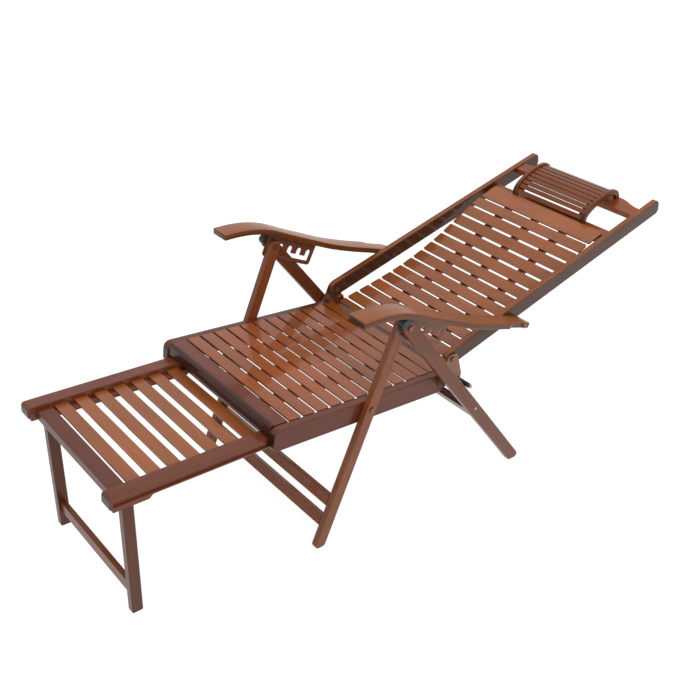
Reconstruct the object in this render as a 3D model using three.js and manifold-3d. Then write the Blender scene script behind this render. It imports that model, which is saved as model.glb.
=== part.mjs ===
// Folding bamboo recliner with a pull-out footrest, a comb-adjusted back and a slatted head pillow.
// X runs from the foot end to the head end, Y across the chair, Z up. Lengths are millimetres.
// Left and right are the sitter's own, so the left side lies towards -Y.

import * as THREE from 'three';
import { mergeVertices } from 'three/addons/utils/BufferGeometryUtils.js';
import Module from 'manifold-3d';

const wasm = await Module();
wasm.setup();

// Fits shared by all pieces
const seatingGap = 0.3;
const runningGap = 0.6;
const cutOverrun = 2;
const arris = 1.5;
const cornerRadius = 3;
const boltPlay = 0.5;

// Seat box
const seatFront = -153;
const seatHeight = 407;
const seatTilt = THREE.MathUtils.degToRad(2.1);
const seatLength = 560;
const seatHalfWidth = 242;
const seatBoardThickness = 23;
const seatBoardHeight = 57;
const seatNoseRadius = 18;
const seatTailRadius = 12;

// Seat slats, the battens under them and the cross rails
const seatSlatCount = 12;
const seatSlatPitch = 42;
const seatSlatGap = 3.5;
const seatSlatThickness = 9;
const seatSlatRise = 1.5;
const seatNoseSetback = 16;
const seatNoseSlatWidth = 36.5;
const seatBattenWidth = 22;
const seatBattenDepth = 16.5;
const seatBattenSpacing = 109;
const seatRailThickness = 18;
const seatFrontRailSetback = 20;
const seatFrontRailDepth = 21;
const seatRearRailSetback = 15;
const seatRearRailDepth = 37;

// Footrest frame
const footrestReach = 393;
const footrestRailLength = 446;
const footrestRailWidth = 37;
const footrestRailHeight = 29;
const footrestHalfWidth = 213;
const footrestDrop = 34;
const footrestEndBlockLength = 84;
const footrestEndBlockSetback = 8;
const footrestEndBlockDepth = 9;
const footrestTipRadius = 9;
const footrestFrontRailWidth = 38;
const footrestFrontRailSetback = 20;
const footrestCrossRailHeight = 22;
const footrestRearRailWidth = 22;
const footrestRearRailSetback = 3;
const footrestRailRecess = 10;

// Footrest slats on their ledger strips
const footrestSlatCount = 7;
const footrestSlatPitch = 49.4;
const footrestSlatWidth = 35;
const footrestSlatThickness = 9;
const footrestSlatRecess = 12;
const footrestFirstGap = 11;
const ledgerWidth = 8;
const ledgerDepth = 10;

// Runner tongues on the seat boards and their grooves in the footrest rails
const grooveDepth = 5;
const grooveHeight = 14;
const grooveTop = 10;
const runnerLength = 445;
const runnerSetback = 8;

// Footrest legs
const footrestLegLean = THREE.MathUtils.degToRad(-3.4);
const footrestLegWidth = 27.5;
const footrestLegThickness = 20;
const footrestLegHalfSpread = 190;
const footrestLegSetback = 66;
const footrestLegToeRadius = 4;
const footrestBarHeight = 60;
const footrestBarThickness = 14;
const footrestBarClearance = 18;
const leafThickness = 1.5;
const leafLength = 24;
const barrelRadius = 2.8;
const barrelOffset = 4;
const barrelDrop = 3.3;

// Front legs
const frontLegPivotSetback = 278.8;
const frontLegPivotDrop = 16.8;
const frontLegLean = THREE.MathUtils.degToRad(17.9);
const frontLegWidth = 32;
const frontLegThickness = 18.5;
const frontLegSpacer = 1.5;
const frontLegUpper = 227.7;
const footRadius = 11;
const frontBarHeight = 30;
const frontBarThickness = 16;
const frontUpperBarDrop = 266;
const frontBarSpacing = 57.5;

// Rear legs
const rearLegLean = THREE.MathUtils.degToRad(-42.5);
const rearLegWidth = 36;
const rearLegThickness = 18;
const legLayerGap = 4;
const rearBarDrop = 461;
const rearBarHeight = 50;
const rearBarThickness = 20;
const rearLegHead = 11;
const capLength = 21.7;
const capBaseWidth = 33;
const capTipWidth = 29;
const capTipRadius = 13;
const capFlange = 1.5;

// Pins, bolts and the tie rod
const topPinRadius = 5.5;
const seatBoltRadius = 4;
const backPinRadius = 4;
const armPinRadius = 3.5;
const headRadius = 8;
const headThickness = 3;
const washerRadius = 11;
const pinSegments = 16;
const holeSegments = 12;
const rodRadius = 5.5;
const rodHalfLength = 296;
const rodBehindPivot = 34.4;
const rodBelowPivot = 67.3;
const sleeveRadius = 6.6;
const sleeveLength = 44;

// Back frame
const backPivotSetback = 569;
const backPivotRise = 39.4;
const backTilt = THREE.MathUtils.degToRad(-18.1);
const backRailHeight = 45;
const backRailThickness = 18;
const backRailLength = 889;
const backRailTipRadius = 15;
const backHalfWidth = 242;
const bracketThickness = 3;
const bracketMargin = 15;
const bracketReach = 26;
const bracketFootRise = 33;
const bracketRodMargin = 13;

// Bowed back panel: rise of the slat tops above the rail's centre line at even steps
const panelStart = -14;
const panelHalfWidth = 212;
const panelFirstSlatWidth = 28.4;
const panelSlatCount = 13;
const panelSlatPitch = 44.5;
const panelSlatGap = 4;
const panelSlatThickness = 8;
const panelHeadBoardWidth = 65;
const panelBow = 46;
const panelBowShares = [-0.68, -0.83, -0.96, -1, -0.87, -0.58, -0.13, 0.24, 0.34];
const panelBattenWidth = 20;
const panelBattenDepth = 14;
const panelBattenSpacing = 106;

// Back cross rails
const lowRailThickness = 18;
const lowRailDepth = 18;
const midRailWidth = 47;
const midRailThickness = 20;
const midRailOverlap = 19;
const topRailSetback = 53;
const topRailWidth = 56;
const topRailEndWidth = 38;
const topRailThickness = 18;

// Head pillow: an arch between the middle and the top cross rail
const pillowHalfWidth = 138;
const pillowFrameThickness = 12;
const pillowFrameDepth = 13;
const pillowRise = 57;
const pillowSpanShares = [0, 0.03, 0.14, 0.37, 0.64, 0.86, 0.97, 1];
const pillowRiseShares = [0.14, 0.49, 0.75, 0.93, 1, 0.9, 0.67, 0.32];
const pillowSlatCount = 10;
const pillowSlatWidth = 15;
const pillowSlatThickness = 6;
const pillowSlatShares = [0.1, 0.9];
const pillowBattenWidth = 18;
const pillowSteps = 20;

// Armrests
const armPivotAlongBack = 224.4;
const armPivotDrop = 7;
const armLength = 603;
const armRise = 167;
const armThickness = 15.5;
const armInnerFace = 243;
const armWidth = 57.5;
const armArris = 2.5;
const armReachShares = [1, 0.932, 0.866, 0.806, 0.75, 0.693, 0.635, 0.514, 0.388, 0.257, 0.121, 0, -0.04];
const armRiseShares = [0.993, 1.003, 0.993, 0.96, 0.906, 0.828, 0.74, 0.57, 0.396, 0.25, 0.119, 0, -0.046];
const armNoseRadius = 14;
const armTailInset = 8.5;
const armShoulder = 62;
const armSteps = 24;

// Comb plate: five round-topped notches over one closed channel
const combNotchCount = 5;
const combPitch = 35;
const combTilt = THREE.MathUtils.degToRad(21.5);
const combNotchRadius = 7.5;
const combToothDepth = 13;
const combChannelHeight = 12;
const combBarHeight = 11.5;
const combEndWidth = 13;
const combPlateThickness = 2.4;
const combTopMargin = 34;
const combCorner = 9;
const combToothRadius = 3;

// Colours
const bamboo = new THREE.MeshStandardMaterial({ color: 0x96603f, roughness: 0.3, metalness: 0 });
const darkBamboo = new THREE.MeshStandardMaterial({ color: 0x66321f, roughness: 0.32, metalness: 0 });
const glossBamboo = new THREE.MeshStandardMaterial({ color: 0x8a4520, roughness: 0.22, metalness: 0 });
const paintedSteel = new THREE.MeshStandardMaterial({ color: 0x6e4433, roughness: 0.45, metalness: 0.4 });
const steel = new THREE.MeshStandardMaterial({ color: 0xa79d8d, roughness: 0.35, metalness: 0.9 });
const rubber = new THREE.MeshStandardMaterial({ color: 0x1f2a26, roughness: 0.7, metalness: 0 });

const sides = [['left', -1], ['right', 1]];

// A closed outline whose corners, given as [x, y, fillet], are rounded as far as their edges allow
function filletedShape(corners) {
  const shape = new THREE.Shape();
  const points = corners.map(([x, y]) => new THREE.Vector2(x, y));
  points.forEach((corner, i) => {
    const before = points.at(i - 1).clone().sub(corner);
    const after = points[(i + 1) % points.length].clone().sub(corner);
    const halfAngle = before.angleTo(after) / 2;
    const trim = Math.min(corners[i][2] / Math.tan(halfAngle), before.length() / 2, after.length() / 2);
    if (trim === 0) {
      if (i === 0) shape.moveTo(corner.x, corner.y);
      else shape.lineTo(corner.x, corner.y);
      return;
    }
    const radius = trim * Math.tan(halfAngle);
    const inwards = before.clone().normalize().add(after.clone().normalize());
    const centre = inwards.setLength(radius / Math.sin(halfAngle)).add(corner);
    const start = before.clone().setLength(trim).add(corner).sub(centre);
    const end = after.clone().setLength(trim).add(corner).sub(centre);
    shape.absarc(centre.x, centre.y, radius, start.angle(), end.angle(), before.cross(after) > 0);
  });
  shape.closePath();
  return shape;
}

// A round hole in an outline
function drill(shape, x, y, radius) {
  const points = [];
  for (let i = 0; i < holeSegments; i += 1) {
    const angle = (2 * Math.PI * i) / holeSegments;
    points.push(new THREE.Vector2(x + radius * Math.cos(angle), y + radius * Math.sin(angle)));
  }
  shape.holes.push(new THREE.Path(points));
}

// A side-view outline (X, Z) as a board of the given thickness centred on Y = 0
function board(shape, thickness, chamfer = arris, curveSegments = 2) {
  const depth = thickness - 2 * chamfer;
  const geometry = new THREE.ExtrudeGeometry(shape, {
    depth,
    curveSegments,
    bevelEnabled: chamfer > 0,
    bevelThickness: chamfer,
    bevelSize: chamfer,
    bevelOffset: -chamfer,
    bevelSegments: 1,
  });
  geometry.rotateX(Math.PI / 2);
  geometry.translate(0, depth / 2, 0);
  return geometry;
}

// A plan outline (X, Y) as a plank whose top lies at Z = 0
function plank(shape, thickness, curveSegments = 1) {
  const geometry = new THREE.ExtrudeGeometry(shape, { depth: thickness, curveSegments, bevelEnabled: false });
  geometry.translate(0, 0, -thickness);
  return geometry;
}

// A bar across the chair, given by its side-view rectangle from (x0, z0) to (x1, z1)
function crossBar(x0, x1, z0, z1, halfSpan, fillet) {
  const corners = [[x0, z0, fillet], [x1, z0, fillet], [x1, z1, fillet], [x0, z1, fillet]];
  return board(filletedShape(corners), 2 * halfSpan, 0);
}

// A turned piece along Y from stations [y, radius], with its ends closed on the axis
function turned(stations) {
  const points = stations.map(([y, radius]) => new THREE.Vector2(radius, y));
  const profile = [new THREE.Vector2(0, points[0].y), ...points, new THREE.Vector2(0, points.at(-1).y)];
  return new THREE.LatheGeometry(profile, pinSegments);
}

function toSolid(geometry) {
  const bare = geometry.clone();
  bare.deleteAttribute('normal');
  bare.deleteAttribute('uv');
  const merged = mergeVertices(bare);
  const vertProperties = new Float32Array(merged.attributes.position.array);
  const triVerts = new Uint32Array(merged.index.array);
  return new wasm.Manifold(new wasm.Mesh({ numProp: 3, vertProperties, triVerts }));
}

function toGeometry(solid) {
  const mesh = solid.getMesh();
  const geometry = new THREE.BufferGeometry();
  geometry.setAttribute('position', new THREE.BufferAttribute(new Float32Array(mesh.vertProperties), 3));
  geometry.setIndex(new THREE.BufferAttribute(new Uint32Array(mesh.triVerts), 1));
  geometry.computeVertexNormals();
  return geometry;
}

function join(geometries) {
  return toGeometry(geometries.map(toSolid).reduce((sum, solid) => sum.add(solid)));
}

function cut(geometry, ...cutters) {
  return toGeometry(cutters.map(toSolid).reduce((rest, cutter) => rest.subtract(cutter), toSolid(geometry)));
}

function place(group, name, geometry, material, y = 0) {
  const mesh = new THREE.Mesh(geometry, material);
  mesh.name = name;
  mesh.position.y = y;
  group.add(mesh);
  return mesh;
}

// The outline of a band that follows a curve, offset above and below it
function bandShape(curve, above, below, steps, [from, to] = [0, 1]) {
  const upper = [];
  const lower = [];
  for (let i = 0; i <= steps; i += 1) {
    const share = THREE.MathUtils.lerp(from, to, i / steps);
    const point = curve.getPointAt(share);
    const tangent = curve.getTangentAt(share);
    upper.push(new THREE.Vector2(point.x - above * tangent.y, point.y + above * tangent.x));
    lower.push(new THREE.Vector2(point.x + below * tangent.y, point.y - below * tangent.x));
  }
  return new THREE.Shape([...lower, ...upper.reverse()]);
}

// Groups of the pieces that move together, each at its pivot
const chair = new THREE.Group();

function frameAt(x, z, tilt) {
  const group = new THREE.Group();
  group.position.set(x, 0, z);
  group.rotation.y = tilt;
  chair.add(group);
  group.updateWorldMatrix(true, false);
  return group;
}

function pointOf(group, x, z) {
  return group.localToWorld(new THREE.Vector3(x, 0, z));
}

const seat = frameAt(seatFront, seatHeight, seatTilt);
const frontLegPivot = pointOf(seat, frontLegPivotSetback, -frontLegPivotDrop);
const backPivot = pointOf(seat, backPivotSetback, backPivotRise);
const footrestTop = seatHeight - footrestDrop;
const footrest = frameAt(seatFront - footrestReach, footrestTop, 0);
const footrestLegPivotX = footrestLegSetback + barrelOffset;
const footrestLegPivotZ = -footrestRailHeight - footrestEndBlockDepth - barrelDrop;
const footrestLegPivot = pointOf(footrest, footrestLegPivotX, footrestLegPivotZ);
const footrestLegs = frameAt(footrestLegPivot.x, footrestLegPivot.z, footrestLegLean);
const frontLegs = frameAt(frontLegPivot.x, frontLegPivot.z, frontLegLean);
const topPivot = pointOf(frontLegs, 0, frontLegUpper);
const rearLegs = frameAt(topPivot.x, topPivot.z, rearLegLean);
const back = frameAt(backPivot.x, backPivot.z, backTilt);
const armPivot = pointOf(back, armPivotAlongBack, -armPivotDrop);
const arms = { left: frameAt(armPivot.x, armPivot.z, 0), right: frameAt(armPivot.x, armPivot.z, 0) };

// Layers across the chair, from the middle outwards
const frontLegInner = seatHalfWidth + frontLegSpacer;
const frontLegOuter = frontLegInner + frontLegThickness;
const rearLegInner = frontLegOuter + legLayerGap;
const rearLegOuter = rearLegInner + rearLegThickness;
const seatBoardInner = seatHalfWidth - seatBoardThickness;
const backRailInner = backHalfWidth - backRailThickness;
const footrestRailInner = footrestHalfWidth - footrestRailWidth;
const bracketInner = seatHalfWidth + seatingGap;
const bracketOuter = bracketInner + bracketThickness;

// Seat side boards, bored for the front leg bolts
function seatBoard() {
  const shape = filletedShape([
    [0, 0, seatNoseRadius],
    [0, -seatBoardHeight, seatTailRadius],
    [seatLength, -seatBoardHeight, seatNoseRadius],
    [seatLength, 0, seatTailRadius],
  ]);
  drill(shape, frontLegPivotSetback, -frontLegPivotDrop, seatBoltRadius + boltPlay);
  return board(shape, seatBoardThickness);
}

function slatPlank(width, length, thickness, radius) {
  const shape = filletedShape([
    [0, -length / 2, radius],
    [width, -length / 2, radius],
    [width, length / 2, radius],
    [0, length / 2, radius],
  ]);
  return plank(shape, thickness);
}

// Seat panel: a wide nose slat and twelve more on three battens
function seatPanel() {
  const slatLength = 2 * (seatBoardInner - seatingGap);
  const underside = seatSlatRise - seatSlatThickness;
  const firstPitch = seatNoseSetback + seatNoseSlatWidth + seatSlatGap;
  const pieces = [slatPlank(seatNoseSlatWidth, slatLength, seatSlatThickness, cornerRadius)];
  pieces[0].translate(seatNoseSetback, 0, seatSlatRise);
  for (let i = 0; i < seatSlatCount; i += 1) {
    const slat = slatPlank(seatSlatPitch - seatSlatGap, slatLength, seatSlatThickness, cornerRadius);
    slat.translate(firstPitch + i * seatSlatPitch, 0, seatSlatRise);
    pieces.push(slat);
  }
  const battenStart = seatFrontRailSetback + seatRailThickness + seatingGap;
  const battenEnd = seatLength - seatRearRailSetback - seatRailThickness - seatingGap;
  for (const step of [-1, 0, 1]) {
    const batten = new THREE.BoxGeometry(battenEnd - battenStart, seatBattenWidth, seatBattenDepth + seatSlatThickness / 2);
    const middle = underside + (seatSlatThickness / 2 - seatBattenDepth) / 2;
    batten.translate((battenStart + battenEnd) / 2, step * seatBattenSpacing, middle);
    pieces.push(batten);
  }
  return join(pieces);
}

for (const [side, sign] of sides) {
  place(seat, `seat_side_board_${side}`, seatBoard(), darkBamboo, sign * (seatHalfWidth - seatBoardThickness / 2));
}
place(seat, 'seat_slat_panel', seatPanel(), glossBamboo);
const railTop = seatSlatRise - seatSlatThickness - seatingGap;
const seatRailSpan = seatBoardInner - seatingGap;
const frontRailEnd = seatFrontRailSetback + seatRailThickness;
const frontRail = crossBar(seatFrontRailSetback, frontRailEnd, railTop - seatFrontRailDepth, railTop, seatRailSpan, arris);
place(seat, 'seat_front_rail', frontRail, darkBamboo);
const rearRailEnd = seatLength - seatRearRailSetback;
const rearRailStart = rearRailEnd - seatRailThickness;
const rearRail = crossBar(rearRailStart, rearRailEnd, railTop - seatRearRailDepth, railTop, seatRailSpan, arris);
place(seat, 'seat_rear_rail', rearRail, darkBamboo);

// Runner tongues, level like the footrest that slides on them
const runnerHeight = grooveHeight - 2 * runningGap;
const runnerWidth = seatBoardInner - seatingGap - (footrestHalfWidth - grooveDepth + runningGap);
const runners = frameAt(seatFront + runnerSetback, footrestTop - grooveTop - grooveHeight / 2, 0);
for (const [side, sign] of sides) {
  const runner = new THREE.BoxGeometry(runnerLength, runnerWidth, runnerHeight);
  runner.translate(runnerLength / 2, 0, 0);
  place(runners, `footrest_runner_${side}`, runner, darkBamboo, sign * (seatBoardInner - seatingGap - runnerWidth / 2));
}

// Hinge brackets: one plate each side from the back pivot down to the tie rod
const rodX = backPivotSetback + rodBehindPivot;
const rodZ = backPivotRise - rodBelowPivot;

function hingeBracket() {
  const footX = seatLength - bracketReach;
  const footZ = rodZ - bracketRodMargin;
  const shape = filletedShape([
    [footX, footZ, bracketRodMargin],
    [rodX + bracketRodMargin, footZ, bracketRodMargin],
    [rodX + bracketRodMargin, rodZ + bracketRodMargin, bracketRodMargin],
    [backPivotSetback + bracketMargin, backPivotRise + bracketMargin, bracketMargin],
    [backPivotSetback - bracketMargin, backPivotRise + bracketMargin, bracketMargin],
    [footX, footZ + bracketFootRise, bracketRodMargin],
  ]);
  drill(shape, backPivotSetback, backPivotRise, backPinRadius + boltPlay);
  drill(shape, rodX, rodZ, rodRadius + boltPlay);
  return board(shape, bracketThickness, 0);
}

for (const [side, sign] of sides) {
  const y = sign * (bracketInner + bracketThickness / 2);
  place(seat, `back_hinge_bracket_${side}`, hingeBracket(), paintedSteel, y);
}

// Tie rod that the rear legs lean on, with a rubber sleeve on each end
const rod = turned([[-rodHalfLength, rodRadius], [rodHalfLength, rodRadius]]);
rod.translate(rodX, 0, rodZ);
place(seat, 'tie_rod', rod, steel);
for (const [side, sign] of sides) {
  const ring = new THREE.Shape().absarc(0, 0, sleeveRadius, 0, 2 * Math.PI);
  drill(ring, 0, 0, rodRadius + boltPlay);
  const sleeve = board(ring, sleeveLength, 0, pinSegments / 2);
  sleeve.translate(rodX, 0, rodZ);
  place(seat, `rod_sleeve_${side}`, sleeve, rubber, sign * (bracketOuter + seatingGap + sleeveLength / 2));
}

// Bolts and pins, turned about Y with the inner head first; sign mirrors them to their side
function pin(stations, x, z, sign) {
  const mirrored = sign > 0 ? stations : stations.map(([y, radius]) => [-y, radius]).reverse();
  const geometry = turned(mirrored);
  geometry.translate(x, 0, z);
  return geometry;
}

for (const [side, sign] of sides) {
  const boltStart = seatBoardInner - seatingGap;
  const boltEnd = frontLegOuter + seatingGap;
  const stations = [
    [boltStart - headThickness, headRadius],
    [boltStart, headRadius],
    [boltStart, seatBoltRadius],
    [seatHalfWidth + seatingGap, seatBoltRadius],
    [seatHalfWidth + seatingGap, washerRadius],
    [frontLegInner - seatingGap, washerRadius],
    [frontLegInner - seatingGap, seatBoltRadius],
    [boltEnd, seatBoltRadius],
    [boltEnd, headRadius],
    [boltEnd + headThickness, headRadius],
  ];
  place(seat, `front_leg_bolt_${side}`, pin(stations, frontLegPivotSetback, -frontLegPivotDrop, sign), steel);
}
for (const [side, sign] of sides) {
  const pinStart = backRailInner - seatingGap;
  const pinEnd = bracketOuter + seatingGap;
  const stations = [
    [pinStart - headThickness, headRadius],
    [pinStart, headRadius],
    [pinStart, backPinRadius],
    [pinEnd, backPinRadius],
    [pinEnd, headRadius],
    [pinEnd + headThickness, headRadius],
  ];
  place(seat, `back_hinge_pin_${side}`, pin(stations, backPivotSetback, backPivotRise, sign), steel);
}

// Footrest rails: grooved on the outside, with a deeper block where each leg folds
function footrestRail(sign) {
  const blockBottom = -footrestRailHeight - footrestEndBlockDepth;
  const blockEnd = footrestEndBlockSetback + footrestEndBlockLength;
  const shape = filletedShape([
    [0, 0, footrestTipRadius],
    [0, -footrestRailHeight, footrestTipRadius],
    [footrestEndBlockSetback, -footrestRailHeight, 0],
    [footrestEndBlockSetback, blockBottom, 0],
    [blockEnd, blockBottom, footrestEndBlockDepth / 2],
    [blockEnd + footrestEndBlockDepth, -footrestRailHeight, footrestEndBlockDepth / 2],
    [footrestRailLength, -footrestRailHeight, cornerRadius],
    [footrestRailLength, 0, cornerRadius],
  ]);
  const grooveLength = footrestRailLength - runnerSetback + cutOverrun;
  const grooveWidth = grooveDepth + cutOverrun;
  const groove = new THREE.BoxGeometry(grooveLength, grooveWidth, grooveHeight);
  const grooveY = sign * (footrestRailWidth / 2 - grooveDepth + grooveWidth / 2);
  groove.translate(runnerSetback + grooveLength / 2, grooveY, -grooveTop - grooveHeight / 2);
  return cut(board(shape, footrestRailWidth), groove);
}

for (const [side, sign] of sides) {
  const y = sign * (footrestHalfWidth - footrestRailWidth / 2);
  place(footrest, `footrest_rail_${side}`, footrestRail(sign), darkBamboo, y);
}

const footrestSpan = footrestRailInner - seatingGap;
const footrestFrontRailEnd = footrestFrontRailSetback + footrestFrontRailWidth;
const footrestRearRailEnd = footrestRailLength - footrestRearRailSetback;
const footrestRearRailStart = footrestRearRailEnd - footrestRearRailWidth;

function footrestCrossRail(start, end) {
  const bottom = -footrestRailRecess - footrestCrossRailHeight;
  return crossBar(start, end, bottom, -footrestRailRecess, footrestSpan, arris);
}

const frontCrossRail = footrestCrossRail(footrestFrontRailSetback, footrestFrontRailEnd);
place(footrest, 'footrest_front_rail', frontCrossRail, darkBamboo);
const rearCrossRail = footrestCrossRail(footrestRearRailStart, footrestRearRailEnd);
place(footrest, 'footrest_rear_rail', rearCrossRail, darkBamboo);

// Footrest panel: its slats lie on two narrow ledger strips
function footrestPanel() {
  const pieces = [];
  for (let i = 0; i < footrestSlatCount; i += 1) {
    const slat = slatPlank(footrestSlatWidth, 2 * footrestSpan, footrestSlatThickness, arris);
    slat.translate(footrestFrontRailEnd + footrestFirstGap + i * footrestSlatPitch, 0, -footrestSlatRecess);
    pieces.push(slat);
  }
  const start = footrestFrontRailEnd + seatingGap;
  const end = footrestRearRailStart - seatingGap;
  const height = ledgerDepth + footrestSlatThickness / 2;
  for (const [, sign] of sides) {
    const ledger = new THREE.BoxGeometry(end - start, ledgerWidth, height);
    const middle = -footrestSlatRecess - footrestSlatThickness / 2 - height / 2;
    ledger.translate((start + end) / 2, sign * (footrestSpan - ledgerWidth / 2), middle);
    pieces.push(ledger);
  }
  return join(pieces);
}

place(footrest, 'footrest_slat_panel', footrestPanel(), bamboo);

// Leaf hinges under the end blocks
function leafHinge() {
  const top = barrelDrop - seatingGap;
  const leafEnd = leafLength + barrelRadius;
  const width = footrestLegThickness - 2 * arris;
  const leaf = new THREE.Shape([
    new THREE.Vector2(0, top),
    new THREE.Vector2(0, top - leafThickness),
    new THREE.Vector2(leafEnd, top - leafThickness),
    new THREE.Vector2(leafEnd, top),
  ]);
  const barrel = new THREE.Shape().absarc(0, 0, barrelRadius, 0, 2 * Math.PI);
  return join([board(leaf, width, 0), board(barrel, width, 0, pinSegments / 4)]);
}

const footrestLegY = footrestLegHalfSpread - footrestLegThickness / 2;
for (const [side, sign] of sides) {
  const hinge = leafHinge();
  hinge.translate(footrestLegPivotX, 0, footrestLegPivotZ);
  place(footrest, `footrest_leg_hinge_${side}`, hinge, steel, sign * footrestLegY);
}

// Place along a leaning leg, at x across it, of the level that lies a given height above the floor
function levelOn(pivot, lean, x, height = 0) {
  return (height - pivot.z + x * Math.sin(lean)) / Math.cos(lean);
}

// Footrest legs with their low stretcher
const footrestLegFront = -barrelOffset - footrestLegWidth;

function footrestLeg() {
  const top = barrelDrop - seatingGap;
  const floor = (x) => levelOn(footrestLegPivot, footrestLegLean, x);
  const shape = filletedShape([
    [footrestLegFront, top, cornerRadius],
    [footrestLegFront, floor(footrestLegFront), footrestLegToeRadius],
    [-barrelOffset, floor(-barrelOffset), footrestLegToeRadius],
    [-barrelOffset, top, cornerRadius],
  ]);
  return board(shape, footrestLegThickness);
}

for (const [side, sign] of sides) {
  place(footrestLegs, `footrest_leg_${side}`, footrestLeg(), darkBamboo, sign * footrestLegY);
}
const footrestBarMiddle = -barrelOffset - footrestLegWidth / 2;
const footrestBarFoot = levelOn(footrestLegPivot, footrestLegLean, footrestBarMiddle, footrestBarClearance);
const footrestBar = crossBar(
  footrestBarMiddle - footrestBarThickness / 2,
  footrestBarMiddle + footrestBarThickness / 2,
  footrestBarFoot,
  footrestBarFoot + footrestBarHeight,
  footrestLegHalfSpread - footrestLegThickness - seatingGap,
  arris,
);
place(footrestLegs, 'footrest_leg_stretcher', footrestBar, darkBamboo);

// Front legs: round heads, level rounded feet, two stretchers flush with their front faces
function frontLeg() {
  const half = frontLegWidth / 2;
  const floor = (x) => levelOn(frontLegPivot, frontLegLean, x);
  const shape = filletedShape([
    [-half, frontLegUpper + half, half],
    [-half, floor(-half), footRadius],
    [half, floor(half), footRadius],
    [half, frontLegUpper + half, half],
  ]);
  drill(shape, 0, 0, seatBoltRadius + boltPlay);
  drill(shape, 0, frontLegUpper, topPinRadius + boltPlay);
  return board(shape, frontLegThickness);
}

for (const [side, sign] of sides) {
  place(frontLegs, `front_leg_${side}`, frontLeg(), darkBamboo, sign * (frontLegInner + frontLegThickness / 2));
}
for (const [i, level] of ['upper', 'lower'].entries()) {
  const middle = -frontUpperBarDrop - i * frontBarSpacing;
  const bar = crossBar(
    -frontLegWidth / 2,
    -frontLegWidth / 2 + frontBarThickness,
    middle - frontBarHeight / 2,
    middle + frontBarHeight / 2,
    frontLegInner - seatingGap,
    arris,
  );
  place(frontLegs, `front_leg_${level}_stretcher`, bar, darkBamboo);
}
for (const [side, sign] of sides) {
  const stations = [
    [frontLegInner - seatingGap - headThickness, headRadius],
    [frontLegInner - seatingGap, headRadius],
    [frontLegInner - seatingGap, topPinRadius],
    [frontLegOuter, topPinRadius],
  ];
  place(frontLegs, `top_pin_inner_${side}`, pin(stations, 0, frontLegUpper, sign), steel);
}

// Rear legs: crossed outside the front ones, with a rubber cap on each head and one stretcher
function rearLeg() {
  const half = rearLegWidth / 2;
  const floor = (x) => levelOn(topPivot, rearLegLean, x);
  const shape = filletedShape([
    [-half, rearLegHead, cornerRadius],
    [-half, floor(-half), footRadius],
    [half, floor(half), footRadius],
    [half, rearLegHead, cornerRadius],
  ]);
  drill(shape, 0, 0, topPinRadius + boltPlay);
  return board(shape, rearLegThickness);
}

function rearLegCap() {
  const base = rearLegHead + seatingGap;
  const shape = filletedShape([
    [-capBaseWidth / 2, base, cornerRadius],
    [capBaseWidth / 2, base, cornerRadius],
    [capTipWidth / 2, base + capLength, capTipRadius],
    [-capTipWidth / 2, base + capLength, capTipRadius],
  ]);
  return board(shape, rearLegThickness + capFlange);
}

for (const [side, sign] of sides) {
  place(rearLegs, `rear_leg_${side}`, rearLeg(), darkBamboo, sign * (rearLegInner + rearLegThickness / 2));
  const capY = rearLegInner + (rearLegThickness + capFlange) / 2;
  place(rearLegs, `rear_leg_cap_${side}`, rearLegCap(), rubber, sign * capY);
}
const rearBar = crossBar(
  -rearLegWidth / 2,
  -rearLegWidth / 2 + rearBarThickness,
  -rearBarDrop - rearBarHeight / 2,
  -rearBarDrop + rearBarHeight / 2,
  rearLegInner - seatingGap,
  arris,
);
place(rearLegs, 'rear_leg_stretcher', rearBar, darkBamboo);
for (const [side, sign] of sides) {
  const stations = [
    [rearLegInner, topPinRadius],
    [rearLegOuter + seatingGap, topPinRadius],
    [rearLegOuter + seatingGap, headRadius],
    [rearLegOuter + seatingGap + headThickness, headRadius],
  ];
  place(rearLegs, `top_pin_outer_${side}`, pin(stations, 0, 0, sign), steel);
}

// Back rails, round at the hinge end
function backRail() {
  const half = backRailHeight / 2;
  const shape = filletedShape([
    [-half, -half, half],
    [backRailLength, -half, backRailTipRadius],
    [backRailLength, half, backRailTipRadius],
    [-half, half, half],
  ]);
  drill(shape, 0, 0, backPinRadius + boltPlay);
  drill(shape, armPivotAlongBack, -armPivotDrop, armPinRadius + boltPlay);
  return board(shape, backRailThickness);
}

for (const [side, sign] of sides) {
  place(back, `back_rail_${side}`, backRail(), darkBamboo, sign * (backHalfWidth - backRailThickness / 2));
}

// Bowed back panel: slats follow one sagging curve and are carried by three battens cut to it
const panelFirstPitch = panelStart + panelFirstSlatWidth + panelSlatGap;
const headBoardStart = panelFirstPitch + panelSlatCount * panelSlatPitch;
const panelEnd = headBoardStart + panelHeadBoardWidth;
const bowSteps = panelBowShares.length - 1;
const bowCurve = new THREE.SplineCurve(panelBowShares.map((share, i) => {
  const along = THREE.MathUtils.lerp(panelStart, panelEnd, i / bowSteps);
  return new THREE.Vector2(along, share * panelBow);
}));
const bowTable = bowCurve.getSpacedPoints(panelSlatCount);

// Height of the bow at a place along the back
function bowAt(along) {
  const next = Math.max(bowTable.findIndex((point) => point.x >= along), 1);
  const a = bowTable[next - 1];
  const b = bowTable[next];
  return THREE.MathUtils.mapLinear(along, a.x, b.x, a.y, b.y);
}

function bowedSlat(start, width) {
  const slat = slatPlank(width, 2 * panelHalfWidth, panelSlatThickness, cornerRadius);
  const rise = bowAt(start + width - seatingGap) - bowAt(start);
  slat.rotateY(-Math.atan2(rise, width));
  slat.translate(start, 0, bowAt(start));
  return slat;
}

const lowRailEnd = lowRailThickness / 2;
const midRailStart = panelEnd - midRailOverlap;
const midRailTop = Math.min(bowAt(midRailStart), bowAt(panelEnd - seatingGap)) - panelSlatThickness - runningGap;

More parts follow.
